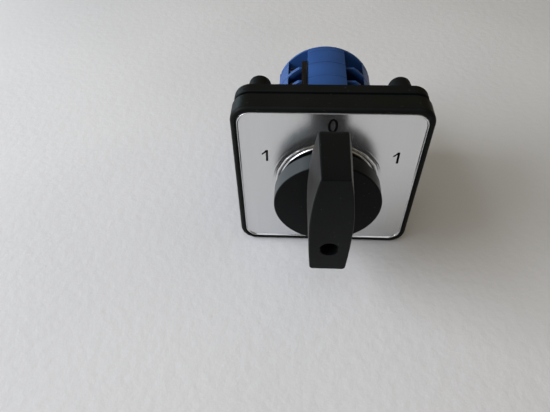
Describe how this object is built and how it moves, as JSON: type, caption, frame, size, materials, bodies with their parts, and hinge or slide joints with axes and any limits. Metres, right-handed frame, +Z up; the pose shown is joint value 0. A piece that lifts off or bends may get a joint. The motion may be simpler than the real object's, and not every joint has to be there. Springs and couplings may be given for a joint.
{
  "type": "rotary cam switch",
  "caption": "Panel-mounted rotary cam switch: a lever knob over a square brushed plate turns a stack of round contact stages behind it.",
  "frame": {"origin": "on the switch's axis, in the plane where the seal's back meets the panel", "axes": "+Z up towards the plate's 0 mark, +Y from the user into the panel along the switch's axis, +X to the user's right"},
  "size_m": [0.064, 0.0871, 0.064],
  "materials": {
    "black_frame": "satin black moulding",
    "black_knob": "satin black moulding",
    "brushed_plate": "brushed, with clear coat",
    "seal_rubber": "matte black rubber",
    "blue_moulding": "satin blue moulding",
    "dark_moulding": "matte",
    "pale_moulding": "matte natural moulding",
    "plated_steel": "zinc plated",
    "spring_steel": "bright",
    "brass": "bright",
    "dark_link": "darkened metal"
  },
  "bodies": {
    "housing": {"front_frame": "black_frame", "legend_plate": "brushed_plate", "panel_seal": "seal_rubber", "stop_housing": "blue_moulding", "detent_housing": "blue_moulding", "rear_cover": "blue_moulding", "tie_bolts": "plated_steel", "tie_nuts": "plated_steel", "frame_screws": "plated_steel", "wire_clamps": "plated_steel", "terminal_screws": "plated_steel", "link_strip": "dark_link", "detent_springs": "spring_steel", "stage_1_housing": "blue_moulding", "stage_1_fixed_contacts": "brass", "stage_1_left_spring": "spring_steel", "stage_1_right_spring": "spring_steel", "stage_2_housing": "blue_moulding", "stage_2_fixed_contacts": "brass", "stage_2_left_spring": "spring_steel", "stage_2_right_spring": "spring_steel", "stage_3_housing": "blue_moulding", "stage_3_fixed_contacts": "brass", "stage_3_left_spring": "spring_steel", "stage_3_right_spring": "spring_steel"},
    "rotor": {"knob": "black_knob", "knob_screw": "plated_steel", "shaft": "plated_steel", "shaft_clip": "spring_steel", "stop_lever": "plated_steel", "star_wheel": "dark_moulding", "stage_1_cam": "dark_moulding", "stage_2_cam": "dark_moulding", "stage_3_cam": "dark_moulding"},
    "stage_1_left": {"stage_1_left_plunger": "pale_moulding", "stage_1_left_bridge": "brass"},
    "stage_1_right": {"stage_1_right_plunger": "pale_moulding", "stage_1_right_bridge": "brass"},
    "stage_2_left": {"stage_2_left_plunger": "pale_moulding", "stage_2_left_bridge": "brass"},
    "stage_2_right": {"stage_2_right_plunger": "pale_moulding", "stage_2_right_bridge": "brass"},
    "stage_3_left": {"stage_3_left_plunger": "pale_moulding", "stage_3_left_bridge": "brass"},
    "stage_3_right": {"stage_3_right_plunger": "pale_moulding", "stage_3_right_bridge": "brass"}
  },
  "joints": [
    {"name": "knob_turn", "type": "hinge", "parent": "housing", "child": "rotor", "pos_m": [0, 0, 0], "axis": [0, -1, 0], "range_deg": [-60, 60], "deforming": ["detent_springs"]},
    {"name": "stage_1_left_slide", "type": "slide", "parent": "housing", "child": "stage_1_left", "axis": [1, 0, 0], "range_m": [-0.0012, 0.0012], "deforming": ["stage_1_left_spring"]},
    {"name": "stage_1_right_slide", "type": "slide", "parent": "housing", "child": "stage_1_right", "axis": [1, 0, 0], "range_m": [-0.0012, 0.0012], "deforming": ["stage_1_right_spring"]},
    {"name": "stage_2_left_slide", "type": "slide", "parent": "housing", "child": "stage_2_left", "axis": [1, 0, 0], "range_m": [-0.0012, 0.0012], "deforming": ["stage_2_left_spring"]},
    {"name": "stage_2_right_slide", "type": "slide", "parent": "housing", "child": "stage_2_right", "axis": [1, 0, 0], "range_m": [-0.0012, 0.0012], "deforming": ["stage_2_right_spring"]},
    {"name": "stage_3_left_slide", "type": "slide", "parent": "housing", "child": "stage_3_left", "axis": [1, 0, 0], "range_m": [-0.0012, 0.0012], "deforming": ["stage_3_left_spring"]},
    {"name": "stage_3_right_slide", "type": "slide", "parent": "housing", "child": "stage_3_right", "axis": [1, 0, 0], "range_m": [-0.0012, 0.0012], "deforming": ["stage_3_right_spring"]}
  ],
  "couplings": [
    {"joint": "stage_1_left_slide", "follows": "knob_turn", "m_per_rad": 0.0011458},
    {"joint": "stage_1_right_slide", "follows": "knob_turn", "m_per_rad": 0.0011458},
    {"joint": "stage_2_left_slide", "follows": "knob_turn", "m_per_rad": 0.0011458},
    {"joint": "stage_2_right_slide", "follows": "knob_turn", "m_per_rad": 0.0011458},
    {"joint": "stage_3_left_slide", "follows": "knob_turn", "m_per_rad": 0.0011458},
    {"joint": "stage_3_right_slide", "follows": "knob_turn", "m_per_rad": 0.0011458}
  ]
}
